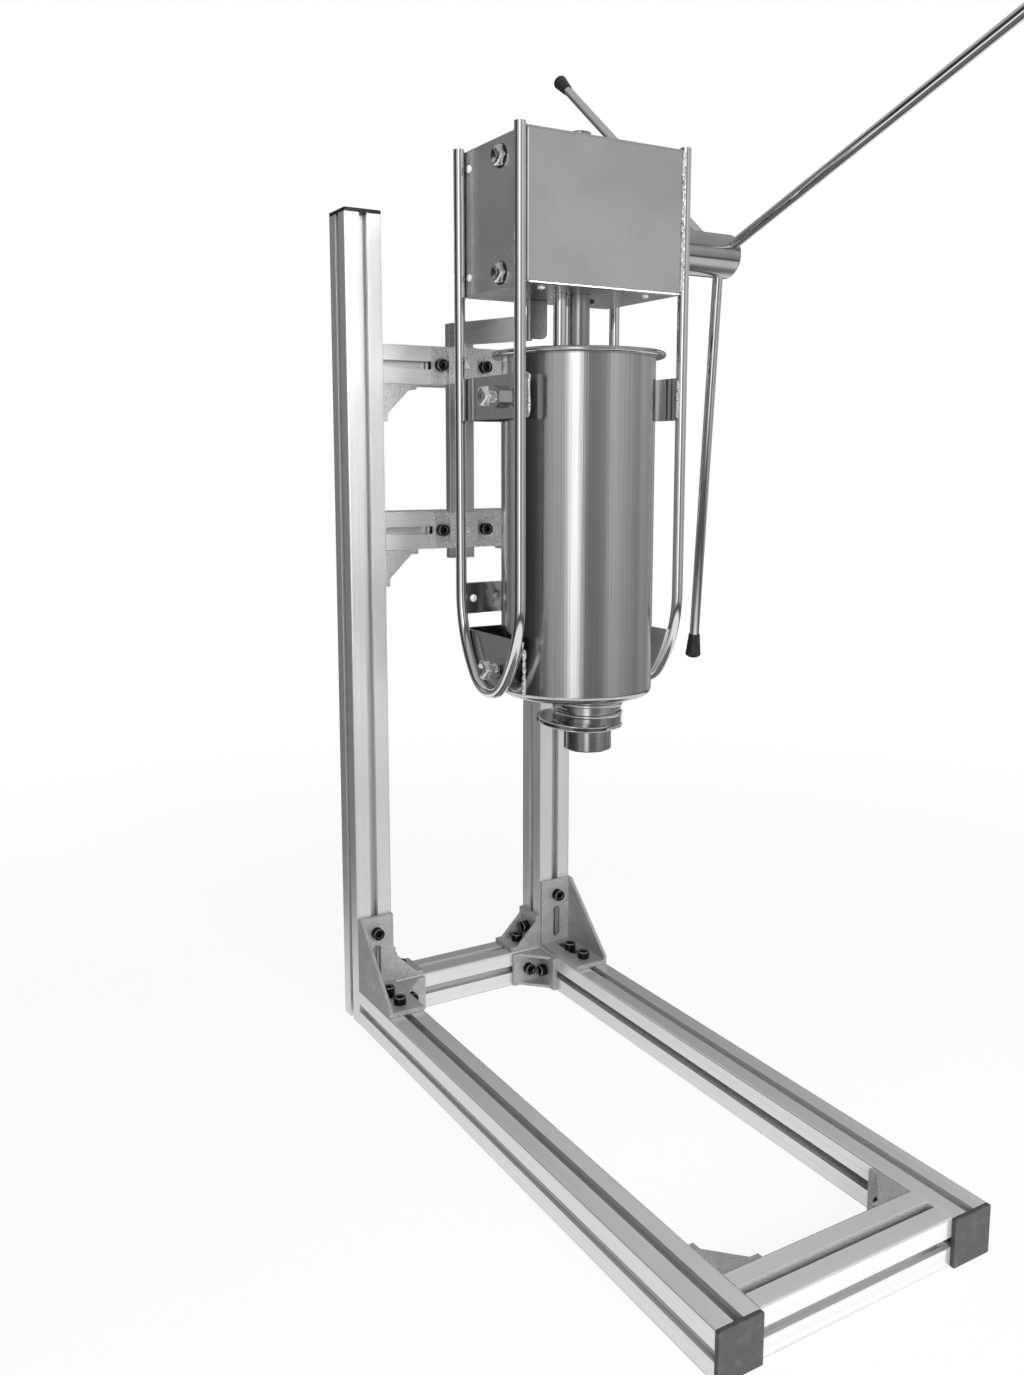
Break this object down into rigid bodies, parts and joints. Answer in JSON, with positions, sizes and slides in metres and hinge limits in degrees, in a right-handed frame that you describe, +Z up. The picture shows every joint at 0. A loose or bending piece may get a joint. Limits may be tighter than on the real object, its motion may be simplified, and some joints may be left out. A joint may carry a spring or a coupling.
{
  "type": "churro maker",
  "caption": "Hand-wound churro press: a dough cylinder with star nozzle under a rack-and-pinion gearbox and spoked lever, on a slotted-profile stand.",
  "frame": {"origin": "on the floor, midway between the base rails, in the plane of the uprights' front faces, 2 mm in front of the floor_face point, which lies just inside the rear crossbar's flat underside", "axes": "+Z up; +X to the lever's side; the base rails run forward to -Y"},
  "size_m": [0.3446, 0.731, 1.0608],
  "materials": {
    "profile_aluminium": "natural anodised, fine extrusion lines",
    "cap_plastic": "moulded, fine grain",
    "cast_brackets": "die cast, speckled",
    "black_oxide_steel": "black oxide",
    "zinc_plated_steel": "bright zinc",
    "brushed_stainless_bar": "mill finish",
    "polished_stainless_rod": "polished",
    "stainless_band": "polished band",
    "stainless_sheet": "fine brushed",
    "guide_block_steel": "milled",
    "bronze_bush": "turned",
    "turned_stainless": "turned",
    "cylinder_stainless": "mirror polished, drawn",
    "gear_steel": "machined, oiled",
    "spring_steel": "black",
    "grip_plastic": "semi-gloss",
    "piston_plastic": "turned",
    "black_rubber": "satin"
  },
  "bodies": {
    "machine_frame": {"bar_clamps": "cast_brackets", "bar_set_screws": "zinc_plated_steel", "base_corner_brackets": "cast_brackets", "base_rail_left": "profile_aluminium", "base_rail_right": "profile_aluminium", "bottom_plug": "black_rubber", "cover_screws": "zinc_plated_steel", "crossbar_brackets": "cast_brackets", "cylinder": "cylinder_stainless", "frame_bolts": "black_oxide_steel", "frame_tee_nuts": "zinc_plated_steel", "front_crossbar": "profile_aluminium", "gearbox_bottom": "stainless_sheet", "gearbox_front_cover": "stainless_sheet", "gearbox_rear_cover": "stainless_sheet", "gearbox_side_left": "stainless_sheet", "gearbox_side_right": "stainless_sheet", "gearbox_top": "stainless_sheet", "guide_bolts": "zinc_plated_steel", "guide_bushes": "bronze_bush", "hanger_arm": "brushed_stainless_bar", "lower_crossbar": "profile_aluminium", "lower_rack_guide": "guide_block_steel", "lower_yoke": "stainless_band", "mounting_bar": "brushed_stainless_bar", "profile_end_caps": "cap_plastic", "rear_crossbar": "profile_aluminium", "rear_strap": "brushed_stainless_bar", "shaft_bushes": "turned_stainless", "side_frame_left": "polished_stainless_rod", "side_frame_right": "polished_stainless_rod", "tall_bracket_left": "cast_brackets", "tall_bracket_right": "cast_brackets", "upper_crossbar": "profile_aluminium", "upper_rack_guide": "guide_block_steel", "upper_yoke": "stainless_band", "upright_left": "profile_aluminium", "upright_right": "profile_aluminium"},
    "lever": {"drive_shaft": "turned_stainless", "pinion": "gear_steel", "lever_hub": "turned_stainless", "lever_arm_1": "polished_stainless_rod", "lever_arm_2": "polished_stainless_rod", "lever_arm_3": "polished_stainless_rod", "lever_grip_1": "grip_plastic", "lever_grip_2": "grip_plastic", "lever_grip_3": "grip_plastic", "hub_set_screw": "spring_steel", "shaft_circlip": "spring_steel"},
    "plunger": {"rack_bar": "gear_steel", "guide_rod": "polished_stainless_rod", "piston": "piston_plastic", "piston_seal": "black_rubber", "piston_nuts": "zinc_plated_steel"},
    "nozzle_holder": {"nozzle": "turned_stainless"},
    "ring_nut": {"outlet_ring_nut": "turned_stainless"},
    "upper_pad": {"upper_clamp_pad": "black_rubber"},
    "upper_screw": {"upper_clamp_screw": "zinc_plated_steel"},
    "lower_pad": {"lower_clamp_pad": "black_rubber"},
    "lower_screw": {"lower_clamp_screw": "zinc_plated_steel"}
  },
  "joints": [
    {"name": "lever_turn", "type": "hinge", "parent": "machine_frame", "child": "lever", "pos_m": [0, -0.19323, 0.805], "axis": [-1, 0, 0], "range_deg": [0, 1116]},
    {"name": "plunger_lift", "type": "slide", "parent": "machine_frame", "child": "plunger", "axis": [0, 0, 1], "range_m": [0, 0.29]},
    {"name": "nozzle_drop", "type": "slide", "parent": "machine_frame", "child": "nozzle_holder", "axis": [0, 0, -1], "range_m": [0, 0.0085]},
    {"name": "ring_nut_turn", "type": "hinge", "parent": "nozzle_holder", "child": "ring_nut", "pos_m": [0, -0.2356, 0.37], "axis": [0, 0, -1], "range_deg": [0, 1008]},
    {"name": "upper_pad_slide", "type": "slide", "parent": "machine_frame", "child": "upper_pad", "axis": [-1, 0, 0], "range_m": [0, 0.0033]},
    {"name": "upper_screw_turn", "type": "hinge", "parent": "upper_pad", "child": "upper_screw", "pos_m": [-0.09, -0.2156, 0.661], "axis": [-1, 0, 0], "range_deg": [0, 800]},
    {"name": "lower_pad_slide", "type": "slide", "parent": "machine_frame", "child": "lower_pad", "axis": [-1, 0, 0], "range_m": [0, 0.0033]},
    {"name": "lower_screw_turn", "type": "hinge", "parent": "lower_pad", "child": "lower_screw", "pos_m": [-0.09, -0.2156, 0.42], "axis": [-1, 0, 0], "range_deg": [0, 800]}
  ],
  "couplings": [
    {"joint": "plunger_lift", "follows": "lever_turn", "m_per_rad": 0.014875},
    {"joint": "nozzle_drop", "follows": "ring_nut_turn", "m_per_rad": 0.00047746},
    {"joint": "upper_screw_turn", "follows": "upper_pad_slide", "rad_per_m": 4188.8},
    {"joint": "lower_screw_turn", "follows": "lower_pad_slide", "rad_per_m": 4188.8}
  ]
}
